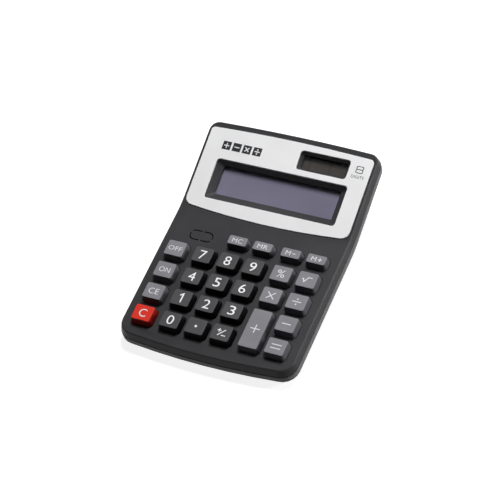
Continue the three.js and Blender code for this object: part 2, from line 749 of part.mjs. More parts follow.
function contactMinus() {
  return bentStrip([
    [-plusX - stripThickness, leafFoot], [cellRadius - 2, leafFoot],
    [cellRadius - 2, leafFoot + stripThickness], [-plusX, leafFoot + stripThickness],
    [-plusX, tagTop], [-plusX - stripThickness, tagTop],
  ]);
}

// Extrudes an outline drawn in X and Z along Y, centred, one strip wide.
function bentStrip(points) {
  return new THREE.ExtrudeGeometry(
    new THREE.Shape(points.map(([x, z]) => new THREE.Vector2(x, z))),
    { depth: stripWidth, bevelEnabled: false, steps: 1 },
  ).translate(0, 0, -stripWidth / 2).rotateX(Math.PI / 2);
}

// A sheathed two-core lead along a smooth route.
function lead(points) {
  const route = new THREE.CatmullRomCurve3(points);
  const section = new THREE.Shape(arc(0, 0, leadRadius, 0, 1.75 * Math.PI, 7));
  return new THREE.ExtrudeGeometry(section, { steps: 12, bevelEnabled: false, extrudePath: route });
}

// ---------- assembly ----------

const calculator = new THREE.Group();
const deck = new THREE.Group();
deck.rotation.x = deckTilt;
calculator.add(deck);
const display = new THREE.Group();
display.applyMatrix4(displayFrame);
deck.add(display);
const base = new THREE.Group();
base.applyMatrix4(baseFrame);
deck.add(base);

function add(parent, name, geometry, finish, x = 0, y = 0, z = 0) {
  const mesh = new THREE.Mesh(geometry, new THREE.MeshStandardMaterial(finish));
  mesh.name = name;
  mesh.position.set(x, y, z);
  parent.add(mesh);
}

const darkPlastic = { color: 0x444446, roughness: 0.5, metalness: 0 };
const steel = { color: 0xa8a8a4, roughness: 0.35, metalness: 1 };
const springBrass = { color: 0xc8a860, roughness: 0.35, metalness: 1 };
const clear = { color: 0xdfe4e6, roughness: 0.08, metalness: 0, transparent: true, opacity: 0.35 };
const rubber = { color: 0xb9bcbc, roughness: 0.7, metalness: 0 };
const blackRubber = { color: 0x1b1b1c, roughness: 0.9, metalness: 0 };
const laminate = { color: 0x9a7a3c, roughness: 0.6, metalness: 0 };
const resin = { color: 0x141414, roughness: 0.3, metalness: 0 };
const silver = { color: 0xc9c9cb, roughness: 0.35, metalness: 0.6 };
const crystal = { color: 0x6a6778, roughness: 0.15, metalness: 0 };
const foil = { color: 0xb8b8bc, roughness: 0.3, metalness: 0.8 };
const innerPlastic = { color: 0x2c2c2e, roughness: 0.6, metalness: 0 };
const solarGlass = { color: 0x38302c, roughness: 0.2, metalness: 0.1 };
const amberFilm = { color: 0xb08a50, roughness: 0.4, metalness: 0 };
const blackSheath = { color: 0x2a2a2a, roughness: 0.5, metalness: 0 };
const redSheath = { color: 0x8c1f1f, roughness: 0.5, metalness: 0 };

add(deck, 'top_case', toGeometry(topCase()), darkPlastic);
add(deck, 'bottom_case', toGeometry(bottomCase()), darkPlastic);
keys.forEach(({ name, width, depth, colour, x, y }) =>
  add(deck, name, keyCap(width, depth), keyColours[colour], x, y));

add(deck, 'keypad_membrane', toGeometry(membrane()), rubber);
add(deck, 'main_board', toGeometry(mainBoard()), laminate);
const chipDome = turned([
  [0, -blobHeight], [blobRadius * 0.5, -blobHeight * 0.9],
  [blobRadius * 0.85, -blobHeight * 0.5], [blobRadius, 0], [0, 0],
], 16);
add(deck, 'chip_dome', chipDome, resin, -columnPitch / 2, 1.75 * rowPitch, boardFoot - gap);

const screwSeat = (foot) => foot - gap - screwHeadHeight;
const boardShaft = deckTop - wall - gap - boardFoot;
caseScrews.forEach((s) => {
  const shaft = s.bossEnd + threadLength - s.seatFoot + gap;
  add(deck, s.name, screw(shaft), steel, s.x, s.y, screwSeat(s.seatFoot));
});
boardScrews.forEach((s) => add(deck, s.name, screw(boardShaft), steel, s.x, s.y, screwSeat(boardFoot)));

const lcdPlate = { ...lcdWindow, width: lcdWindow.width - 2.6, depth: lcdWindow.depth - 1.4 };
const lcdFoot = lcdTop - lcdThickness;
const reflector = { ...lcdPlate, y: lcdPlate.y + 2, width: lcdPlate.width - 2, depth: lcdPlate.depth - 5 };
const reflectorFoot = reflectorTop - reflectorThickness;
const solarCellTop = solarWellFoot - gap;
const solarCellFoot = solarCellTop - solarThickness;
const lcdLens = plate(grown(lcdOpening, lensMargin), 1, lcdWellFoot, -lcdDrop - gap);
const solarLens = plate(grown(solarOpening, lensMargin), 1, solarWellFoot, -solarDrop - gap);
const solarPlate = plate(grown(solarOpening, lensMargin), 0.4, solarCellFoot, solarCellTop, 1);
add(display, 'display_panel', toGeometry(displayPanel()), silver);
add(display, 'display_lens', lcdLens, clear);
add(display, 'lcd_glass', plate(lcdPlate, 0.5, lcdFoot, lcdTop, 1), crystal);
add(display, 'lcd_reflector', plate(reflector, 0.5, reflectorFoot, reflectorTop, 1), foil);
add(display, 'lcd_holder', toGeometry(lcdHolder()), innerPlastic);
add(display, 'solar_lens', solarLens, clear);
add(display, 'solar_cell', solarPlate, solarGlass);

const toDeck = (x, y, z) => new THREE.Vector3(x, y, z).applyMatrix4(displayFrame);
const lcdLow = lcdPlate.y - lcdPlate.depth / 2;
const ribbonUnder = lcdFoot - gap - ribbonThickness / 2;
const ribbonOver = boardTop + gap + ribbonThickness;
const ribbonRoute = [
  toDeck(0, lcdLow + 2.4, ribbonUnder),
  toDeck(0, lcdLow - 0.5, ribbonUnder),
  new THREE.Vector3(0, (crease + boardBack) / 2 + 3, ribbonOver + 0.7),
  new THREE.Vector3(0, boardBack - 0.5, ribbonOver),
  new THREE.Vector3(0, boardBack - 3.5, ribbonOver),
].map((p) => [p.y, p.z]).reverse();
const ribbon = strip(ribbonRoute, ribbonThickness, -ribbonWidth / 2, ribbonWidth / 2);
add(deck, 'ribbon_cable', ribbon, amberFilm);

// The two leads run from the solar cell and the battery to the back edge of the board.
const leadEnd = boardFoot - gap - leadRadius - 0.1;
const solarLeadX = middleBossX - wellRadius - 2.2;
const batteryLeadX = ribbonWidth / 2 + 2.4;
const solarLeadZ = holderFoot - 1 - leadRadius;
add(deck, 'solar_lead', lead([
  toDeck(solarOpening.x + 9, solarOpening.y, solarCellFoot - gap - 2 * leadRadius),
  toDeck(solarOpening.x + 11, lcdWindow.y + lcdWindow.depth / 2, solarLeadZ),
  toDeck(solarLeadX, lcdWindow.y, solarLeadZ),
  toDeck(solarLeadX, 2, solarLeadZ),
  new THREE.Vector3(solarLeadX, boardBack, leadEnd - 0.6),
  new THREE.Vector3(solarLeadX, boardBack - 4, leadEnd),
]), blackSheath);
const fromBase = (x, y, z) => new THREE.Vector3(x, y, z).applyMatrix4(baseFrame);
const cellYInBase = batteryY + cellOffset;
add(deck, 'battery_lead', lead([
  fromBase(batteryX + plusX + tagLength - 0.4, cellYInBase, tagTop + gap + leadRadius + 0.15),
  fromBase(batteryX + coverWidth / 2 + batteryBoxWall + 2, cellYInBase - 0.5, batteryBoxTop + 1),
  fromBase(batteryLeadX, cellYInBase - 10, batteryBoxTop - 0.6),
  new THREE.Vector3(batteryLeadX, boardBack, leadEnd - 0.6),
  new THREE.Vector3(batteryLeadX, boardBack - 4, leadEnd),
]), redSheath);

const footShape = turned([
  [0, -footProud], [footRadius - 0.4, -footProud], [footRadius, -footProud + 0.4],
  [footRadius, footRecess - gap], [0, footRecess - gap],
], 20);
feet.forEach((f) => add(base, f.name, footShape, blackRubber, f.x, f.y));

const coverScrewSunk = 0.1;
const coverHeadTop = coverThickness - coverSeat - gap - coverScrewSunk;
const coverTip = coverThickness + threadLength - gap;
const coverScrew = turned([
  [0, 0], [screwHead - 0.2, 0], [screwHead, 0.2], [screwHead, coverHeadTop],
  [screwRadius, coverHeadTop], [screwRadius, coverTip], [0, coverTip],
], 10);
const cell = turned([
  [0, 0], [cellRadius - 0.3, 0], [cellRadius, 0.3], [cellRadius, cellHeight - 0.9],
  [cellRadius - 0.7, cellHeight - 0.4], [cellRadius - 1, cellHeight], [0, cellHeight],
], 24);
add(base, 'battery_cover', toGeometry(batteryCover()), darkPlastic, batteryX, batteryY);
add(base, 'cover_screw', coverScrew, steel, batteryX, batteryY + coverScrewOffset, coverScrewSunk);
add(base, 'battery_cell', cell, steel, batteryX, cellYInBase, cellFoot);
add(base, 'contact_plus', contactPlus(), springBrass, batteryX, cellYInBase);
add(base, 'contact_minus', contactMinus(), springBrass, batteryX, cellYInBase);

// The origin is under the middle of the whole calculator, on the surface that it stands on.
calculator.updateMatrixWorld(true);
const bounds = new THREE.Box3().setFromObject(calculator, true);
deck.position.set(
  -(bounds.min.x + bounds.max.x) / 2, -(bounds.min.y + bounds.max.y) / 2, -bounds.min.z);
calculator.updateMatrixWorld(true);

export default calculator;
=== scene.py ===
# %% [markdown]
# # A small desk calculator
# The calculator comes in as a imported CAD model: twenty-seven keys that each ride on a body of their
# own, a battery cover, and the case with everything inside it. The CAD gives every place and size.
# This lesson gives the pieces their looks: rounded key tops, printed signs, grained plastic, glass,
# screws and rubber. Nothing here moves a CAD piece.

import json
import math

import bpy
import numpy as np
from mathutils import Matrix


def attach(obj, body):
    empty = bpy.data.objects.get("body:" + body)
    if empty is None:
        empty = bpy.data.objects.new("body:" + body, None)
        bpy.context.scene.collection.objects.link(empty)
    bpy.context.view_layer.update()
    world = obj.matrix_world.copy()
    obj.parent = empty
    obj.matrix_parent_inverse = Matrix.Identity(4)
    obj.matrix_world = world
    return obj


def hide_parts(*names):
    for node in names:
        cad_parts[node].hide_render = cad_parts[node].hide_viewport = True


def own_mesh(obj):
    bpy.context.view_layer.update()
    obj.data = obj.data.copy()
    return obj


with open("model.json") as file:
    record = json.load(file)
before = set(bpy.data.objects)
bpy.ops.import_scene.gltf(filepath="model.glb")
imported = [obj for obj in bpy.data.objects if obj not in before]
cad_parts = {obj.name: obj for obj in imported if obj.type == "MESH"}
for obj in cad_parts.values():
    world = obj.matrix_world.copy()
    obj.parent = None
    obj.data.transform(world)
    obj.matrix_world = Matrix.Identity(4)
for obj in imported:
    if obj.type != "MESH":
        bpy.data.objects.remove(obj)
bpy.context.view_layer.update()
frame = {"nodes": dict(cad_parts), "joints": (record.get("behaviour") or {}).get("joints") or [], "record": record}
MM = 0.001

# %% [markdown]
# ## The deck's own directions
# The deck slopes a few degrees when the calculator stands on a table, so the keys move along the deck's
# normal and not straight down. Working along the slope keeps every later formula flat and simple. The
# direction in which a key slides gives the deck's normal, and the top of the equals key gives its height.

# %% Deck directions


def points_of(node):
    """All the corners of a CAD piece, as one array of rows x, y, z in metres."""
    mesh = frame["nodes"][node].data
    flat = np.empty(3 * len(mesh.vertices))
    mesh.vertices.foreach_get("co", flat)
    return flat.reshape(-1, 3)


press = next(joint for joint in frame["joints"] if joint["name"] == "press_equals")
ACROSS = np.array([1.0, 0.0, 0.0])
DECK_OUT = np.array(press["axis"], dtype=float)
DECK_OUT /= np.linalg.norm(DECK_OUT)
DECK_UP = np.cross(DECK_OUT, ACROSS)


def face_middle(node, out):
    """The middle of the piece's highest face along the direction out."""
    points = points_of(node)
    height = points @ out
    top = points[height > height.max() - 1e-5]
    return (top.min(axis=0) + top.max(axis=0)) / 2


equals_top = face_middle("key_equals", DECK_OUT)
DECK_ORIGIN = equals_top - ACROSS * equals_top[0]
DECK_AXES = np.array([ACROSS, DECK_UP, DECK_OUT])
print("deck normal", DECK_OUT.round(4), "origin in mm", (DECK_ORIGIN / MM).round(2))

# %% [markdown]
# ## The display's own directions
# The display bends up from the deck. Its panel is flat, so one of the panel's large triangles gives the
# direction that it faces. The origin goes on the case under the panel, at the bend, like the zero line
# of a drawing, and it is found from the lens, whose middle lies a known way from the bend.

# %% Display directions
LENS_UP = 19.45  # from the bend to the middle of the display's lens, in millimetres
LENS_DOWN = 3.3  # from the case's surface to the top of the lens


def widest_normal(node):
    """The direction faced by a piece's largest triangle: the normal with the biggest area."""
    corners = points_of(node)[triangle_corners(node)]
    normals = np.cross(corners[:, 1] - corners[:, 0], corners[:, 2] - corners[:, 0])
    widest = normals[np.argmax(np.linalg.norm(normals, axis=1))]
    return widest / np.linalg.norm(widest) * np.sign(widest[2])


def triangle_corners(node):
    """The three corner numbers of each of a piece's triangles."""
    mesh = frame["nodes"][node].data
    mesh.calc_loop_triangles()
    flat = np.empty(3 * len(mesh.loop_triangles), dtype=np.int32)
    mesh.loop_triangles.foreach_get("vertices", flat)
    return flat.reshape(-1, 3)


DISPLAY_OUT = widest_normal("display_lens")
DISPLAY_UP = np.cross(DISPLAY_OUT, ACROSS)
lens_top = face_middle("display_lens", DISPLAY_OUT)
DISPLAY_ORIGIN = lens_top - DISPLAY_UP * LENS_UP * MM + DISPLAY_OUT * LENS_DOWN * MM
DISPLAY_AXES = np.array([ACROSS, DISPLAY_UP, DISPLAY_OUT])
steeper = math.degrees(math.acos(DISPLAY_OUT @ DECK_OUT))
print("display is", round(steeper, 2), "degrees steeper than the deck")

# %% [markdown]
# ## The camera
# The camera stands high on the right in front of the keys, far away behind a long lens, so the
# calculator's edges stay nearly parallel. It is placed in the deck's own directions.

# %% Camera
CAMERA_PLACE = np.array([427.201, -475.816, 898.276])
CAMERA_RIGHT = np.array([0.901209, 0.384836, -0.199310])
CAMERA_DOWN = np.array([0.213841, -0.794868, -0.567852])
CAMERA_AHEAD = np.array([-0.376955, 0.469133, -0.798636])

to_row = DECK_AXES.T
camera_data = bpy.data.cameras.new("camera")
camera_data.lens = 150
camera_data.sensor_width = 36
camera_data.clip_start = 0.01
camera_data.clip_end = 20
camera = bpy.data.objects.new("camera", camera_data)
bpy.context.scene.collection.objects.link(camera)
turn = np.eye(4)
turn[:3, 0] = to_row @ CAMERA_RIGHT
turn[:3, 1] = to_row @ -CAMERA_DOWN
turn[:3, 2] = to_row @ -CAMERA_AHEAD
turn[:3, 3] = DECK_ORIGIN + to_row @ CAMERA_PLACE * MM
camera.matrix_world = Matrix(turn.tolist())
bpy.context.scene.camera = camera
print("camera at", turn[:3, 3].round(3))

# %% [markdown]
# ## From formulas to meshes
# Each new piece is a stack of closed rings: a grid of points with one row for each ring. Joining each
# point to its neighbours gives four-sided faces, and a flat face closes each end. The arrays go into
# the mesh in one step, which is fast and leaves the formula easy to read.

# %% Mesh helpers


def ring_faces(rows, columns):
    """Quads between neighbouring rings of a rows by columns grid that closes round on itself."""
    row = np.arange(rows - 1)[:, None] * columns
    here = np.arange(columns)[None, :]
    following = (here + 1) % columns
    corners = [row + here, row + following, row + columns + following, row + columns + here]
    return np.stack(corners, axis=-1).reshape(-1, 4)


def add_mesh(name, points, faces, material):
    """An object from points in metres and faces, at the origin, with one material."""
    mesh = bpy.data.meshes.new(name)
    mesh.from_pydata(points.tolist(), [], faces)
    mesh.materials.append(material)
    mesh.update()
    made = bpy.data.objects.new(name, mesh)
    bpy.context.scene.collection.objects.link(made)
    return made


def ringed(name, rings, origin, axes, material):
    """A closed skin through rings: place = origin + x, y and z times the three axes."""
    rows, columns = rings.shape[:2]
    points = origin + rings.reshape(-1, 3) * MM @ axes
    faces = ring_faces(rows, columns).tolist()
    first = list(range(columns))[::-1]
    last = list(range((rows - 1) * columns, rows * columns))
    return add_mesh(name, points, [first, *faces, last], material)


def smooth(made, degrees=32):
    """Shades a piece smoothly, except across edges sharper than the angle."""
    bpy.ops.object.select_all(action="DESELECT")
    made.select_set(True)
    bpy.context.view_layer.objects.active = made
    bpy.ops.object.shade_smooth_by_angle(angle=math.radians(degrees))
    return made


def rounded_ring(half_width, half_depth, radius, steps=7):
    """A rectangle with round corners: each corner is an arc, corner + radius * (cos a, sin a)."""
    quarter = np.linspace(0, math.pi / 2, steps)
    turns = (np.arange(4)[:, None] * math.pi / 2 + quarter[None, :]).ravel()
    side_x = np.repeat([1, -1, -1, 1], steps) * (half_width - radius)
    side_y = np.repeat([1, 1, -1, -1], steps) * (half_depth - radius)
    return np.stack([side_x + radius * np.cos(turns), side_y + radius * np.sin(turns)], axis=-1)


print("a key ring has", len(rounded_ring(6.3, 5.6, 2.2)), "points")

# %% [markdown]
# ## Finishes
# Moulded plastic is never one flat colour. It has a fine spark-eroded grain, tiny changes of shade, and
# a sheen that varies a little from place to place. One noise at grain size drives the bumps, and a
# broader one drives the shade and the roughness. Object coordinates are in metres, so a scale of 3000
# puts about three grains in each millimetre.

# %% Finish helper
CLOUD_SCALE = 60  # the broad noise: a patch is about 17 mm wide
SHEEN_SPREAD = 0.15  # the roughness varies by this share either way
GRAIN_DEPTH = 0.0002  # in metres


def colour(red, green, blue):
    """A display colour from 0 to 255 turned into linear light: ((c + 0.055) / 1.055) ** 2.4."""
    share = np.array([red, green, blue]) / 255
    light = np.where(share > 0.04045, ((share + 0.055) / 1.055) ** 2.4, share / 12.92)
    return (*light.tolist(), 1.0)


def finish(name, base, roughness, grain=3000.0, bump=0.15, shade=0.08, metallic=0.0, specular=0.08):
    """A grained finish: base colour times 1 +- shade, roughness +- 15 %, and bumps at grain size."""
    made = bpy.data.materials.new(name)
    made.use_nodes = True
    nodes, links = made.node_tree.nodes, made.node_tree.links
    surface = nodes["Principled BSDF"]
    surface.inputs["Metallic"].default_value = metallic
    surface.inputs["Specular IOR Level"].default_value = specular
    places = nodes.new("ShaderNodeTexCoord")
    cloud = nodes.new("ShaderNodeTexNoise")
    cloud.inputs["Scale"].default_value = CLOUD_SCALE
    cloud.inputs["Detail"].default_value = 5
    links.new(places.outputs["Object"], cloud.inputs["Vector"])
    tint = nodes.new("ShaderNodeValToRGB")
    tint.color_ramp.elements[0].position = 0.3
    tint.color_ramp.elements[1].position = 0.7
    tint.color_ramp.elements[0].color = (*[c * (1 - shade) for c in base[:3]], 1)
    tint.color_ramp.elements[1].color = (*[min(c * (1 + shade), 1) for c in base[:3]], 1)
    links.new(cloud.outputs["Fac"], tint.inputs["Fac"])
    links.new(tint.outputs["Color"], surface.inputs["Base Color"])
    sheen = nodes.new("ShaderNodeMapRange")
    sheen.inputs["To Min"].default_value = roughness * (1 - SHEEN_SPREAD)
    sheen.inputs["To Max"].default_value = min(roughness * (1 + SHEEN_SPREAD), 1)
    links.new(cloud.outputs["Fac"], sheen.inputs["Value"])
    links.new(sheen.outputs["Result"], surface.inputs["Roughness"])
    grains = nodes.new("ShaderNodeTexNoise")
    grains.inputs["Scale"].default_value = grain
    grains.inputs["Detail"].default_value = 2
    links.new(places.outputs["Object"], grains.inputs["Vector"])
    dents = nodes.new("ShaderNodeBump")
    dents.inputs["Strength"].default_value = bump
    dents.inputs["Distance"].default_value = GRAIN_DEPTH
    links.new(grains.outputs["Fac"], dents.inputs["Height"])
    links.new(dents.outputs["Normal"], surface.inputs["Normal"])
    return made


DECK_COLOUR = colour(52, 52, 54)
deck_plastic = finish("deck_plastic", DECK_COLOUR, 0.38, specular=0.1)
rim_plastic = finish("rim_plastic", colour(104, 104, 105), 0.5, grain=1500, bump=0.7, shade=0.03)
print("deck plastic colour", [round(c, 3) for c in DECK_COLOUR[:3]])

# %% [markdown]
# ## The case halves
# The real case is two mouldings that meet at a thin shadow line. The CAD already has their shape, with
# crisp edges. A mould leaves each outer edge with a small radius that catches the light, so each half is
# copied, its loose triangles are merged into one skin, and a bevel modifier rounds the sharp edges.

# %% Case halves
EDGE_RADIUS = 0.15  # of the mouldings' outer edges, in millimetres
FLAT = 0.6  # triangles within this many degrees of one plane are merged into it


def rounded_copy(node, body, material, degrees=32):
    """A CAD piece's copy, merged and with its sharp edges rounded, that stands for the piece."""
    copy = bpy.data.objects.new(node + "_looks", frame["nodes"][node].data.copy())
    bpy.context.scene.collection.objects.link(copy)
    copy.data.materials.clear()
    copy.data.materials.append(material)
    bpy.ops.object.select_all(action="DESELECT")
    copy.select_set(True)
    bpy.context.view_layer.objects.active = copy
    bpy.ops.object.mode_set(mode="EDIT")
    bpy.ops.mesh.select_all(action="SELECT")
    bpy.ops.mesh.remove_doubles(threshold=1e-6)
    bpy.ops.mesh.dissolve_limited(angle_limit=math.radians(FLAT))
    bpy.ops.object.mode_set(mode="OBJECT")
    bevel = copy.modifiers.new("edge_radius", "BEVEL")
    bevel.width = EDGE_RADIUS * MM
    bevel.segments = 2
    bevel.limit_method = "ANGLE"
    bevel.angle_limit = math.radians(degrees)
    bevel.use_clamp_overlap = False
    bevel.harden_normals = True
    smooth(copy, degrees)
    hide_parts(node)
    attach(copy, body)
    return copy


upper = rounded_copy("top_case", "case", deck_plastic)
lower = rounded_copy("bottom_case", "case", rim_plastic)
rounded_copy("battery_cover", "battery_door", rim_plastic)
print("upper case faces", len(upper.data.polygons), "lower", len(lower.data.polygons))

# %% [markdown]
# ## The keys
# Each key is a hollow moulded cap. Its sides lean in towards the top, its top edge is rounded, and the
# top is a very shallow dish that centres the finger. The sides are polished, so they have a lower
# roughness and look glossier than the spark-eroded matt top, and they get a darker copy of the top's
# colour, which is painted shade for sides that turn away from the lamps. The cap is a stack of rounded
# rectangles from the plunger, up round the cavity, down to the flange that keeps it in the case, and up
# the outside. Each key's place and size are read from its CAD piece.

# %% Key shape
FLANGE = 0.8  # the lip under the deck reaches this far past the key
LEAN = 1.0  # how far the sides lean in
EDGE = 0.2  # radius of the top edge
DISH = 0.07  # depth of the dish in the key's top
DECK_LEVEL = -4.3  # the deck's surface below the key tops
FLANGE_TOP = -6.4
FLANGE_FOOT = -7.3
CAVITY_TOP = -2.2
PLUNGER = 1.8  # half of the plunger's width
CORNER = 2.2  # radius of the key's corners at its foot
MOUTH = 1.2  # the cavity's mouth is this far inside the key's foot
MOUTH_CORNER = 1.6
WALL = 0.6  # at its top the cavity is this far inside the key's top
CAVITY_CORNER = 0.6
EDGE_OUT = 0.06  # the top edge's foot is this far outside the lean
STEEP = 0.6  # a face leaning further than this cosine from the deck's normal is a side


def dished(x, y, half_width, half_depth):
    """Depth of the dish at x, y: -DISH * (1 - (x / half width)^2) * (1 - (y / half depth)^2)."""
    across_share = np.clip(1 - (x / half_width) ** 2, 0, 1)
    along_share = np.clip(1 - (y / half_depth) ** 2, 0, 1)
    return -DISH * across_share * along_share


def key_rings(half_width, half_depth):
    """The key's rings from the plunger to the middle of the top.

    Each station is (outward growth, height, corner radius). The top edge is a quarter circle,
    growth = EDGE_OUT - LEAN - EDGE + EDGE cos a and height = -EDGE + EDGE sin a, for a up to 90 degrees.
    """
    angles = np.linspace(0, math.pi / 2, 6)
    foot = EDGE_OUT - LEAN - EDGE
    edge = [(foot + EDGE * math.cos(a), -EDGE + EDGE * math.sin(a), 1.0) for a in angles]
    skirt = [
        (-LEAN - WALL, CAVITY_TOP, CAVITY_CORNER),
        (-MOUTH, FLANGE_FOOT, MOUTH_CORNER),
        (FLANGE, FLANGE_FOOT, CORNER),
        (FLANGE, FLANGE_TOP, CORNER),
        (0, FLANGE_TOP, CORNER),
        (0, DECK_LEVEL, CORNER),
    ]
    rings = []
    for height in (FLANGE_FOOT, CAVITY_TOP):
        flat = rounded_ring(PLUNGER, PLUNGER, 1.0)
        rings.append(np.column_stack([flat, np.full(len(flat), height)]))
    for growth, height, radius in skirt + edge:
        flat = rounded_ring(half_width + growth, half_depth + growth, radius)
        rings.append(np.column_stack([flat, np.full(len(flat), height)]))
    rim_width = half_width - LEAN - EDGE
    rim_depth = half_depth - LEAN - EDGE
    for share in (0.85, 0.65, 0.45, 0.25, 0.08):
        flat = rings[len(skirt) + len(edge) + 1][:, :2] * share
        height = dished(flat[:, 0], flat[:, 1], rim_width, rim_depth)
        rings.append(np.column_stack([flat, height]))
    return np.array(rings)


print("a key has", key_rings(6.3, 5.61).shape[0], "rings")

# %% Key finishes and keys
# The side finishes are darker copies of the top colours: painted shade on the key sides, with a lower roughness
# for their polish.
SHADED_SIDE_FINISH = {
    "digit_key": finish("shaded_side_black", colour(20, 20, 21), 0.3, grain=2500, bump=0.05),
    "function_key": finish("shaded_side_grey", colour(88, 88, 92), 0.3, grain=2500, bump=0.05),
    "clear_key": finish("shaded_side_red", colour(132, 28, 22), 0.3, grain=2500, bump=0.05),
}
TOP_FINISH = {
    "digit_key": finish("digit_plastic", colour(74, 74, 76), 0.45, grain=3500),
    "function_key": finish("function_plastic", colour(128, 128, 133), 0.5, grain=3500),
    "clear_key": finish("clear_plastic", colour(206, 52, 40), 0.42, grain=3500, shade=0.05),
}
slots = {entry["node"]: entry["material_slot"] for entry in frame["record"]["subparts"]}
key_place = {}
for node in sorted(n for n in frame["nodes"] if n.startswith("key_")):
    local = (points_of(node) - DECK_ORIGIN) @ DECK_AXES.T / MM
    low, high = local.min(axis=0), local.max(axis=0)
    middle = (low + high) / 2
    half = (high - low) / 2 - FLANGE
    key_place[node] = (middle[0], middle[1], half[0], half[1])
    rings = key_rings(half[0], half[1]) + np.array([middle[0], middle[1], 0])
    cap = ringed(node + "_cap", rings, DECK_ORIGIN, DECK_AXES, TOP_FINISH[slots[node]])
    cap.data.materials.append(SHADED_SIDE_FINISH[slots[node]])
    # Faces steeper than STEEP take the second material, the side finish whose darker colour is painted shade.
    normals = np.empty(3 * len(cap.data.polygons))
    cap.data.polygons.foreach_get("normal", normals)
    shaded_sides = normals.reshape(-1, 3) @ DECK_OUT < STEEP
    cap.data.polygons.foreach_set("material_index", shaded_sides.astype(np.int32))
    smooth(cap, 50)
    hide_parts(node)
    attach(cap, node)
print("keys made", len(key_place))

# %% [markdown]
# ## Printed signs
# The signs are pad-printed: a film of ink a few hundredths of a millimetre thick that follows the dish
# of the key. Letters and digits come from the built-in font as text turned into a mesh, and stretched to
# the printed width and height. The arithmetic signs are strokes: a flat bar carried along a path.

# %% Ink helpers
INK = 0.03  # thickness of the ink above the surface
BURIED = 0.06  # how far the ink's foot is sunk, so that no gap shows


def strokes(paths, width):
    """Bars along paths of x, y points. At each point the bar spans +-width/2 along the path's normal.

    The section is a rectangle: two corners above the surface (z = 1) and two below (z = 0). A path whose
    last point is its first is closed, as for a circle.
    """
    points, faces, start = [], [], 0
    for path in paths:
        line = np.array(path, dtype=float)
        closed = len(line) > 2 and np.allclose(line[0], line[-1])
        line = line[:-1] if closed else line
        ahead = np.roll(line, -1, axis=0) - line
        behind = line - np.roll(line, 1, axis=0)
        if not closed:
            ahead[-1] = behind[-1]
            behind[0] = ahead[0]
        ahead /= np.linalg.norm(ahead, axis=1)[:, None]
        behind /= np.linalg.norm(behind, axis=1)[:, None]
        along = ahead + behind
        along /= np.linalg.norm(along, axis=1)[:, None]
        stretch = width / 2 / (along * ahead).sum(axis=1)[:, None]
        side = np.column_stack([-along[:, 1], along[:, 0]]) * stretch
        count = len(line)
        level = np.ones((count, 1))
        section = np.stack([
            np.hstack([line + side, level]),
            np.hstack([line + side, 0 * level]),
            np.hstack([line - side, 0 * level]),
            np.hstack([line - side, level]),
        ], axis=1)
        points.append(section.reshape(-1, 3))
        rows = np.vstack([section, section[:1]]) if closed else section
        grid = ring_faces(len(rows), 4) % (4 * count)
        faces += (grid + start).tolist()
        if not closed:
            faces += [[start + 3, start + 2, start + 1, start]]
            faces += [[start + 4 * count - 4 + k for k in range(4)]]
        start += 4 * count
    return np.vstack(points), [face[::-1] for face in faces]


def letters(words, width, height):
    """The built-in font's outline of words, stretched to width and height about the middle.

    The font's caps and sides are separate sheets, so points at the same place are merged to close them.
    """
    text = bpy.data.curves.new("words", "FONT")
    text.body = words
    text.extrude = 0.1
    text.resolution_u = 4
    text.space_character = 1.04
    holder = bpy.data.objects.new("words", text)
    bpy.context.scene.collection.objects.link(holder)
    bpy.context.view_layer.update()
    mesh = bpy.data.meshes.new_from_object(holder)
    bpy.data.objects.remove(holder)
    flat = np.empty(3 * len(mesh.vertices))
    mesh.vertices.foreach_get("co", flat)
    points = flat.reshape(-1, 3)
    low, high = points.min(axis=0), points.max(axis=0)
    points = (points - (low + high) / 2) / (high - low)
    points[:, 0] *= width
    points[:, 1] *= height
    points[:, 2] = points[:, 2] > 0
    points, merged = np.unique(points.round(5), axis=0, return_inverse=True)
    merged = merged.ravel()
    faces = [merged[list(face.vertices)].tolist() for face in mesh.polygons]
    bpy.data.meshes.remove(mesh)
    return points, [face for face in faces if len(set(face)) == len(face)]


def print_on_key(node, shape, material):
    """Lays ink on a key: its height is the dish's height, plus INK above or minus BURIED below."""
    points, faces = shape
    key_x, key_y, half_width, half_depth = key_place[node]
    x, y = points[:, 0], points[:, 1]
    dish = dished(x, y, half_width - LEAN - EDGE, half_depth - LEAN - EDGE)
    height = dish + np.where(points[:, 2] > 0.5, INK, -BURIED)
    local = np.column_stack([x + key_x, y + key_y, height])
    made = add_mesh(node + "_print", DECK_ORIGIN + local * MM @ DECK_AXES, faces, material)
    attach(made, node)


white_ink = finish("white_ink", colour(236, 236, 236), 0.45, bump=0.05, shade=0.02)
grey_ink = finish("grey_ink", colour(214, 214, 216), 0.45, bump=0.05, shade=0.03)
print("ink", INK, "mm thick")

# %% [markdown]
# The paths below are drawn in millimetres about the middle of a key. A circle is a closed path, and a
# dot is a small circle that is filled by a wide bar.

# %% Signs


def circle(x, y, radius, count=24):
    """Points x + radius cos a, y + radius sin a round a full turn."""
    angles = np.linspace(0, 2 * math.pi, count + 1)
    return np.column_stack([x + radius * np.cos(angles), y + radius * np.sin(angles)])


def dot(x, y, radius):
    """A filled disc: a closed bar as wide as its own radius, centred at half the radius."""
    return strokes([circle(x, y, radius * 0.52)], radius * 0.98)


def together(*shapes):
    """Several shapes as one: their points stacked, and their face numbers moved along."""
    points, faces, start = [], [], 0
    for shape_points, shape_faces in shapes:
        points.append(shape_points)
        faces += [[start + number for number in face] for face in shape_faces]
        start += len(shape_points)
    return np.vstack(points), faces


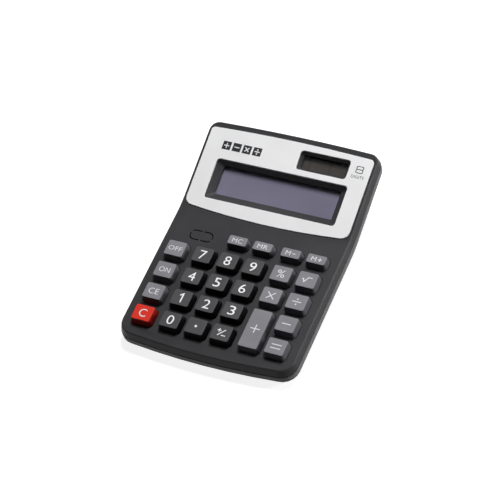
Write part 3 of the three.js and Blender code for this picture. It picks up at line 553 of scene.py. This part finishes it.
DIGIT_SIZE = (3.9, 5.6)
one = strokes([[(-1.3, 1.5), (0.35, 2.5), (0.35, -2.8)]], 0.8)
for number in range(10):
    shape = one if number == 1 else letters(str(number), *DIGIT_SIZE)
    print_on_key(f"key_{number}", shape, white_ink)
words = {
    "key_off": ("OFF", 8.0, 2.8),
    "key_on": ("ON", 6.4, 3.2),
    "key_ce": ("CE", 6.0, 3.6),
    "key_c": ("C", 4.2, 4.9),
    "key_mc": ("MC", 6.0, 2.7),
    "key_mr": ("MR", 6.0, 2.7),
    "key_percent": ("%", 4.6, 4.8),
}
for node, (letter, width, height) in words.items():
    print_on_key(node, letters(letter, width, height), grey_ink)
THIN = 0.58
plus = strokes([[(-2.8, 0), (2.8, 0)], [(0, -2.6), (0, 2.6)]], THIN)
minus = strokes([[(-2.6, 0), (2.6, 0)]], THIN)
times = strokes([[(-2.2, -2.1), (2.2, 2.1)], [(-2.2, 2.1), (2.2, -2.1)]], THIN)
equals = strokes([[(-2.8, 1.1), (2.8, 1.1)], [(-2.8, -1.1), (2.8, -1.1)]], THIN)
divide = together(strokes([[(-2.5, 0), (2.5, 0)]], THIN), dot(0, 1.65, 0.45), dot(0, -1.65, 0.45))
root = strokes([[(-2.7, 0.1), (-2.1, 0.4), (-1.2, -1.5), (0.5, 1.5), (2.8, 1.5)]], THIN)
sign = strokes([
    [(-2.6, 1.3), (-0.4, 1.3)], [(-1.5, 0.2), (-1.5, 2.4)],
    [(-1.7, -1.9), (1.9, 2.1)], [(0.4, -1.6), (2.8, -1.6)],
], 0.55)
small_minus = strokes([[(0.9, 0), (2.7, 0)]], 0.5)
small_plus = strokes([[(0.9, 0), (3.1, 0)], [(2.0, -1.1), (2.0, 1.1)]], 0.5)
letter_m_points, letter_m_faces = letters("M", 2.8, 2.7)
letter_m = (letter_m_points + np.array([-1.5, 0, 0]), letter_m_faces)
for node, shape, ink in [
    ("key_plus", plus, grey_ink),
    ("key_minus", minus, grey_ink),
    ("key_times", times, grey_ink),
    ("key_equals", equals, grey_ink),
    ("key_divide", divide, grey_ink),
    ("key_root", root, grey_ink),
    ("key_sign", sign, white_ink),
    ("key_point", dot(0, 0, 0.72), white_ink),
    ("key_m_minus", together(letter_m, small_minus), grey_ink),
    ("key_m_plus", together(letter_m, small_plus), grey_ink),
]:
    print_on_key(node, shape, ink)

# %% [markdown]
# ## The silver panel
# The fascia is a thin moulding sprayed with silver paint. Fine flakes in the paint give it a satin look
# that is only partly metallic. Its rim is a small radius again, so the CAD piece is copied and bevelled.

# %% Panel
silver_paint = finish(
    "silver_paint", colour(232, 232, 233), 0.42, grain=5000, bump=0.06, shade=0.02, metallic=0.1)
rounded_copy("display_panel", "case", silver_paint)
panel_top = ((points_of("display_panel") - DISPLAY_ORIGIN) @ DISPLAY_OUT).max() / MM
print("panel stands", round(panel_top, 2), "mm above the case")

# %% [markdown]
# ## Marks on the panel
# Two plain marks are printed in dark ink: a row of tiles with the four arithmetic signs knocked out of
# them, and the number of digits that the display shows. A tile is a dark square, and its sign is laid
# over it in the panel's own silver.

# %% Panel marks
dark_ink = finish("dark_ink", colour(52, 52, 54), 0.5, bump=0.05, shade=0.04)


def print_on_panel(name, shape, material, x, y, lift=0.0):
    """Lays ink flat on the silver panel at x, y in the display's own directions."""
    points, faces = shape
    height = panel_top + np.where(points[:, 2] > 0.5, INK + lift, -BURIED)
    local = np.column_stack([points[:, 0] + x, points[:, 1] + y, height])
    made = add_mesh(name, DISPLAY_ORIGIN + local * MM @ DISPLAY_AXES, faces, material)
    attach(made, "case")


TILE = 5.0
TILE_GAP = 1.2
TILE_ROW = 38.6  # height of the row of tiles up the display
FIRST_TILE = -36.6
SIGN_REACH = 1.5  # half the length of a sign's bar
SIGN_BAR = 0.6
DIGITS_ACROSS = 42.6  # middle of the mark for the number of digits
tile = strokes([[(0, -TILE / 2), (0, TILE / 2)]], TILE)
level_bar = [(-SIGN_REACH, 0), (SIGN_REACH, 0)]
tile_signs = [
    strokes([level_bar, [(0, -SIGN_REACH), (0, SIGN_REACH)]], SIGN_BAR),
    strokes([level_bar], SIGN_BAR),
    strokes([[(-1.2, -1.2), (1.2, 1.2)], [(-1.2, 1.2), (1.2, -1.2)]], SIGN_BAR),
    together(strokes([level_bar], SIGN_BAR), dot(0, 1.2, 0.4), dot(0, -1.2, 0.4)),
]
for number, shape in enumerate(tile_signs):
    x = FIRST_TILE + number * (TILE + TILE_GAP)
    print_on_panel(f"panel_tile_{number + 1}", tile, dark_ink, x, TILE_ROW)
    print_on_panel(f"panel_sign_{number + 1}", shape, silver_paint, x, TILE_ROW, lift=0.02)
print_on_panel("panel_eight", strokes([
    [(-1.5, 0.1), (-1.9, 0.5), (-1.9, 1.6), (-1.5, 1.9), (1.5, 1.9), (1.9, 1.6), (1.9, 0.5), (1.5, 0.1),
     (1.9, -0.3), (1.9, -1.6), (1.5, -1.9), (-1.5, -1.9), (-1.9, -1.6), (-1.9, -0.3), (-1.5, 0.1)],
    [(-1.5, 0.1), (1.5, 0.1)],
], 0.42), dark_ink, DIGITS_ACROSS, 41.0)
print_on_panel("panel_digits", letters("DIGITS", 7.4, 1.7), dark_ink, DIGITS_ACROSS, 36.7)
print("marks on the panel", 2 * len(tile_signs) + 2)

# %% [markdown]
# ## Display and solar cell
# A clear acrylic lens covers each window. Under the large one lies the liquid crystal glass, blank and
# grey-violet because the calculator is off. Under the small one lies the solar cell: dark brown glass
# with hair-thin lines between its cells. The lenses stay clear by a low alpha, so light still reaches
# the glass below, and their gloss comes from a low roughness.

# %% Windows
clear_acrylic = finish("clear_acrylic", (0.05, 0.05, 0.06, 1), 0.06, grain=200, bump=0.01, shade=0.01)
clear_acrylic.node_tree.nodes["Principled BSDF"].inputs["Alpha"].default_value = 0.12
crystal_glass = finish("crystal_glass", colour(150, 146, 170), 0.25, grain=400, bump=0.01, shade=0.05)
solar_glass = finish("solar_glass", colour(82, 77, 72), 0.25, grain=300, bump=0.0, shade=0.04)
nodes, links = solar_glass.node_tree.nodes, solar_glass.node_tree.links
lines = nodes.new("ShaderNodeTexWave")
lines.wave_type = "BANDS"
lines.bands_direction = "X"
lines.inputs["Scale"].default_value = 26
thin = nodes.new("ShaderNodeValToRGB")
thin.color_ramp.elements[0].position = 0.0
thin.color_ramp.elements[0].color = (0.7, 0.66, 0.62, 1)
thin.color_ramp.elements[1].position = 0.02
thin.color_ramp.elements[1].color = (1, 1, 1, 1)
multiply = nodes.new("ShaderNodeMix")
multiply.data_type = "RGBA"
multiply.blend_type = "MULTIPLY"
multiply.inputs["Factor"].default_value = 1
places = next(n for n in nodes if n.type == "TEX_COORD")
tint = next(n for n in nodes if n.type == "VALTORGB" and n != thin)
links.new(places.outputs["Object"], lines.inputs["Vector"])
links.new(lines.outputs["Fac"], thin.inputs["Fac"])
links.new(tint.outputs["Color"], multiply.inputs["A"])
links.new(thin.outputs["Color"], multiply.inputs["B"])
links.new(multiply.outputs["Result"], nodes["Principled BSDF"].inputs["Base Color"])


def repaint(node, material):
    """Gives a CAD piece that keeps its own shape a better finish."""
    mesh = frame["nodes"][node].data
    mesh.materials.clear()
    mesh.materials.append(material)


for node, material in [
    ("display_lens", clear_acrylic),
    ("solar_lens", clear_acrylic),
    ("lcd_glass", crystal_glass),
    ("solar_cell", solar_glass),
]:
    repaint(node, material)
print("windows painted")

# %% [markdown]
# ## Screws and feet
# A small cross-head screw holds each joint. Its head is a shallow dome with a cross-shaped recess, and
# its shaft has a thread. The whole screw is one surface in polar coordinates: each ring has a radius and
# a height, and the recess and the thread are added to those as functions of the angle.

# %% Screw shape
RECESS = 0.7  # depth of the cross in the head
PITCH = 0.45
THREAD = 0.12  # depth of the thread
HEAD_HEIGHT = 1.1
SHAFT_RADIUS = 1.0


def screw_rings(head_radius, length, around=64):
    """Rings of a cross-head screw that points along +z, with its head's face at z = 0.

    Recess: depth RECESS inside two crossed arms |x| or |y| < arm, fading to 0 at the arms' ends.
    Thread: radius = SHAFT_RADIUS - THREAD + THREAD * triangle wave of (height / PITCH - angle / full turn).
    """
    angles = np.linspace(0, 2 * math.pi, around, endpoint=False)
    head_r = np.linspace(0.04, 1, 22)[:, None] * head_radius
    x, y = head_r * np.cos(angles), head_r * np.sin(angles)
    arm = 0.16 * head_radius
    reach = 0.62 * head_radius
    inside = np.clip(1.5 - np.minimum(np.abs(x), np.abs(y)) / arm, 0, 1)
    fade = np.clip((reach - np.maximum(np.abs(x), np.abs(y))) / (0.35 * reach), 0, 1)
    dome = 0.25 * (head_r / head_radius) ** 3 + 0 * angles
    face = np.stack([x, y, dome + RECESS * inside * fade], axis=-1)
    collar = [(1.0, HEAD_HEIGHT * 0.5), (1.0, HEAD_HEIGHT), (SHAFT_RADIUS / head_radius, HEAD_HEIGHT)]
    sides = [np.stack([k * head_radius * np.cos(angles), k * head_radius * np.sin(angles),
                       np.full(around, z)], axis=-1) for k, z in collar]
    heights = np.linspace(HEAD_HEIGHT + 0.1, HEAD_HEIGHT + length - 0.3, 40)[:, None]
    wave = np.abs(((heights / PITCH - angles / (2 * math.pi)) % 1) * 2 - 1)
    radius = SHAFT_RADIUS - THREAD + THREAD * wave
    shaft = np.stack([radius * np.cos(angles), radius * np.sin(angles), heights + 0 * angles], axis=-1)
    tip = [np.stack([r * np.cos(angles), r * np.sin(angles),
                     np.full(around, HEAD_HEIGHT + length)], axis=-1) for r in (SHAFT_RADIUS * 0.6, 0.05)]
    return np.concatenate([face, np.array(sides), shaft, np.array(tip)])


zinc_steel = finish(
    "zinc_steel", colour(176, 176, 172), 0.32, grain=6000, bump=0.08, shade=0.08, metallic=1.0)
UPRIGHT = np.eye(3)
for node in sorted(n for n in frame["nodes"] if "screw" in n):
    axes = UPRIGHT if node == "cover_screw" else DECK_AXES
    local = points_of(node) @ axes.T / MM
    low, high = local.min(axis=0), local.max(axis=0)
    middle = (low + high) / 2
    head_radius = (high[0] - low[0]) / 2
    length = high[2] - low[2] - HEAD_HEIGHT
    rings = screw_rings(head_radius, length) + [middle[0], middle[1], low[2]]
    screw = ringed(node + "_threaded", rings, np.zeros(3), axes, zinc_steel)
    smooth(screw, 40)
    body = "battery_door" if node == "cover_screw" else "case"
    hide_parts(node)
    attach(screw, body)
print("screws made")

# %% [markdown]
# Each foot is a disc of soft rubber with a rounded edge and a faint ring moulded in its face. It is a
# profile of radius and height turned round its own axis.

# %% Feet
FOOT_EDGE = 0.4  # radius of the foot's edge
NEEDLE = 0.05  # radius of the small flat that closes a turned piece on its axis
foot_rubber = finish("foot_rubber_black", colour(34, 34, 35), 0.85, grain=2500, bump=0.4, shade=0.15)


def turned_rings(profile, around=64):
    """Rings of a turned piece: x = r cos a, y = r sin a, z from the profile."""
    angles = np.linspace(0, 2 * math.pi, around, endpoint=False)
    radius = np.array([r for r, z in profile])[:, None]
    height = np.array([z for r, z in profile])[:, None]
    return np.stack([radius * np.cos(angles), radius * np.sin(angles), height + 0 * angles], axis=-1)


for node in sorted(n for n in frame["nodes"] if n.startswith("foot_")):
    local = points_of(node) / MM
    low, high = local.min(axis=0), local.max(axis=0)
    middle = (low + high) / 2
    radius, thick = (high[0] - low[0]) / 2, high[2] - low[2]
    bend = np.linspace(0, math.pi / 2, 5)
    edge = [(radius - FOOT_EDGE * (1 - math.sin(a)), FOOT_EDGE * (1 - math.cos(a))) for a in bend]
    groove = [(radius - 1.5, 0), (radius - 1.3, 0.12), (radius - 1.1, 0)]
    profile = [(NEEDLE, 0), (radius - 1.8, 0), *groove, *edge, (radius, thick), (NEEDLE, thick)]
    foot = ringed(node + "_rubber", turned_rings(profile) + [middle[0], middle[1], low[2]],
                  np.zeros(3), UPRIGHT, foot_rubber)
    smooth(foot, 40)
    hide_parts(node)
    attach(foot, "case")
print("feet made")

# %% [markdown]
# ## Inside
# The pieces inside show only when the case is open, but each has the finish of its real material: brown
# paper laminate for the board, black resin over the chip, amber film for the display's ribbon, bright
# nickel for the cell and its contacts, and foil behind the display.

# %% Inner finishes
inner = {
    "main_board": finish("paper_laminate", colour(150, 118, 62), 0.55, grain=900, bump=0.1, shade=0.15),
    "chip_dome": finish("black_resin", colour(18, 18, 18), 0.25, grain=500, bump=0.1, shade=0.3),
    "ribbon_cable": finish("amber_film", colour(178, 138, 80), 0.35, grain=800, bump=0.05),
    "lcd_reflector": finish("matt_foil", colour(184, 184, 188), 0.35, grain=2500, metallic=0.8),
    "lcd_holder": finish("holder_plastic", colour(44, 44, 46), 0.6, bump=0.2),
    "battery_cell": finish(
        "bright_nickel", colour(190, 190, 186), 0.22, grain=4000, bump=0.05, metallic=1.0),
    "contact_plus": finish(
        "spring_nickel", colour(196, 180, 130), 0.3, grain=4000, bump=0.05, metallic=1.0),
    "solar_lead": finish("black_sheath", colour(30, 30, 30), 0.45, grain=2500, bump=0.1),
    "battery_lead": finish("red_sheath", colour(140, 30, 30), 0.45, grain=2500, bump=0.1),
}
inner["contact_minus"] = inner["contact_plus"]
for node, material in inner.items():
    repaint(node, material)
print("inner finishes", len(inner))

# %% [markdown]
# Under the keys lies one silicone mat with a soft dome under each key. A pressed key flattens its dome,
# and the dome pushes it back. The mat and its domes are separate pieces here, and each dome is a turned
# profile with a mesh of its own.

# %% Key mat and domes
DOME_RADIUS = 2.3
DOME_TAPER = 0.3  # the dome's top is this share narrower than its foot
MAT_THICK = 0.8
MAT_GAP = 0.02  # between the mat and a dome's foot
silicone = finish("grey_silicone", colour(178, 180, 180), 0.65, grain=1500, bump=0.1)
local = (points_of("keypad_membrane") - DECK_ORIGIN) @ DECK_AXES.T / MM
low, high = local.min(axis=0), local.max(axis=0)
mat_top = low[2] + MAT_THICK
flat = rounded_ring(*((high - low)[:2] / 2), CORNER) + (low + high)[:2] / 2
mat_rings = np.array([np.column_stack([flat, np.full(len(flat), z)]) for z in (low[2], mat_top)])
mat = ringed("key_mat", mat_rings, DECK_ORIGIN, DECK_AXES, silicone)
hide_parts("keypad_membrane")
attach(mat, "case")
crown = high[2]
dome_foot = mat_top + MAT_GAP
bend = np.linspace(0, math.pi / 2, 6)
wall = [(DOME_RADIUS * (1 - DOME_TAPER * math.sin(a)), dome_foot + (crown - dome_foot) * (1 - math.cos(a)))
        for a in bend]
dome_profile = [(NEEDLE, dome_foot), *wall, (NEEDLE, crown)]
for node, (x, y, half_width, half_depth) in key_place.items():
    rings = turned_rings(dome_profile, 24) + np.array([x, y, 0])
    dome = ringed("dome_" + node, rings, DECK_ORIGIN, DECK_AXES, silicone)
    smooth(dome, 50)
    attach(dome, "case")
    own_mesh(dome)
print("mat top", round(mat_top, 2), "dome height", round(crown - mat_top, 2), "mm")

# %% [markdown]
# ## Floor and light
# The calculator stands on a pale floor. One broad soft lamp hangs above and behind it, a little to the
# right, so the key tops are bright and their fronts fall dark. A lower one from the right lights the
# rim and the sides of the keys. The floor and the world are white for the camera, and for what is seen
# in a reflection or through a window, so they keep the shadow but shed no extra light on the keys. From
# below the floor is clear, and the lower half of the world is brighter in its place, so the underside
# can be looked at too.

# %% Floor
FLOOR_HALF = 3.0  # half of the floor's width, in metres
FLOOR_LEVEL = -0.00005  # just under the feet
FLOOR_LIFT = 0.85  # light added to the floor where it is seen, so that it reads as white


def white_rays(nodes, links):
    """A socket that is 1 for the rays that find the white background, and 0 for the rays that light."""
    path = nodes.new("ShaderNodeLightPath")
    value = path.outputs["Is Camera Ray"]
    for kind in ["Is Glossy Ray", "Is Transmission Ray"]:
        larger = nodes.new("ShaderNodeMath")
        larger.operation = "MAXIMUM"
        links.new(value, larger.inputs[0])
        links.new(path.outputs[kind], larger.inputs[1])
        value = larger.outputs[0]
    return value


floor_paint = bpy.data.materials.new("floor_paint")
floor_paint.use_nodes = True
nodes, links = floor_paint.node_tree.nodes, floor_paint.node_tree.links
pale = nodes["Principled BSDF"]
pale.inputs["Base Color"].default_value = (0.5, 0.5, 0.5, 1)
pale.inputs["Roughness"].default_value = 0.9
pale.inputs["Specular IOR Level"].default_value = 0.1
lift = nodes.new("ShaderNodeEmission")
path = nodes.new("ShaderNodeLightPath")
level = nodes.new("ShaderNodeMath")
level.operation = "MULTIPLY"
level.inputs[1].default_value = FLOOR_LIFT
both = nodes.new("ShaderNodeAddShader")
links.new(white_rays(nodes, links), level.inputs[0])
links.new(level.outputs[0], lift.inputs["Strength"])
links.new(pale.outputs[0], both.inputs[0])
links.new(lift.outputs[0], both.inputs[1])
behind = nodes.new("ShaderNodeNewGeometry")
clear = nodes.new("ShaderNodeBsdfTransparent")
one_sided = nodes.new("ShaderNodeMixShader")
from_below = nodes.new("ShaderNodeMath")
from_below.operation = "MAXIMUM"
unlit = nodes.new("ShaderNodeMath")
unlit.operation = "MAXIMUM"
links.new(path.outputs["Is Diffuse Ray"], unlit.inputs[0])
links.new(path.outputs["Is Shadow Ray"], unlit.inputs[1])
links.new(behind.outputs["Backfacing"], from_below.inputs[0])
links.new(unlit.outputs[0], from_below.inputs[1])
links.new(from_below.outputs[0], one_sided.inputs["Fac"])
links.new(both.outputs[0], one_sided.inputs[1])
links.new(clear.outputs[0], one_sided.inputs[2])
links.new(one_sided.outputs[0], nodes["Material Output"].inputs["Surface"])
signs = np.array([[-1, -1], [1, -1], [1, 1], [-1, 1]])
corners = np.column_stack([FLOOR_HALF * signs, np.full(4, FLOOR_LEVEL)])
floor = add_mesh("floor", corners, [[0, 1, 2, 3]], floor_paint)
print("floor", 2 * FLOOR_HALF, "m wide")

# %% Lamps and world
AIM = np.array([0, 0, 0.01])  # both lamps point at the middle of the calculator
DARK_ABOVE = 0.015  # the world's light from above the horizon
LIGHT_BELOW = 0.3  # and from below it
HORIZON = 0.02


def lamp(name, place, size, watts):
    """A square soft lamp whose -z axis points from its place to AIM."""
    data = bpy.data.lights.new(name, "AREA")
    data.size = size
    data.energy = watts
    made = bpy.data.objects.new(name, data)
    bpy.context.scene.collection.objects.link(made)
    back = np.array(place) - AIM
    back /= np.linalg.norm(back)
    right = np.cross([0, 1, 0.001], back)
    right /= np.linalg.norm(right)
    matrix = np.eye(4)
    matrix[:3, 0], matrix[:3, 1], matrix[:3, 2] = right, np.cross(back, right), back
    matrix[:3, 3] = place
    made.matrix_world = Matrix(matrix.tolist())


lamp("main_lamp", (0.1, 0.7, 1.4), 0.4, 25.0)
lamp("side_lamp", (1.0, 0.45, 0.3), 0.3, 9.0)
world = bpy.data.worlds.new("studio")
bpy.context.scene.world = world
world.use_nodes = True
nodes, links = world.node_tree.nodes, world.node_tree.links
nodes.clear()
surround = nodes.new("ShaderNodeBackground")
surround.inputs["Color"].default_value = (1, 1, 1, 1)
seen_white = nodes.new("ShaderNodeBackground")
seen_white.inputs["Color"].default_value = (1, 1, 1, 1)
seen_white.inputs["Strength"].default_value = 1.0
direction = nodes.new("ShaderNodeTexCoord")
height = nodes.new("ShaderNodeSeparateXYZ")
bounce = nodes.new("ShaderNodeMapRange")
bounce.inputs["From Min"].default_value = HORIZON
bounce.inputs["From Max"].default_value = -HORIZON
bounce.inputs["To Min"].default_value = DARK_ABOVE
bounce.inputs["To Max"].default_value = LIGHT_BELOW
links.new(direction.outputs["Generated"], height.inputs["Vector"])
links.new(height.outputs["Z"], bounce.inputs["Value"])
links.new(bounce.outputs["Result"], surround.inputs["Strength"])
mix = nodes.new("ShaderNodeMixShader")
out = nodes.new("ShaderNodeOutputWorld")
links.new(white_rays(nodes, links), mix.inputs["Fac"])
links.new(surround.outputs[0], mix.inputs[1])
links.new(seen_white.outputs[0], mix.inputs[2])
links.new(mix.outputs[0], out.inputs["Surface"])
bpy.context.scene.view_settings.view_transform = "Standard"
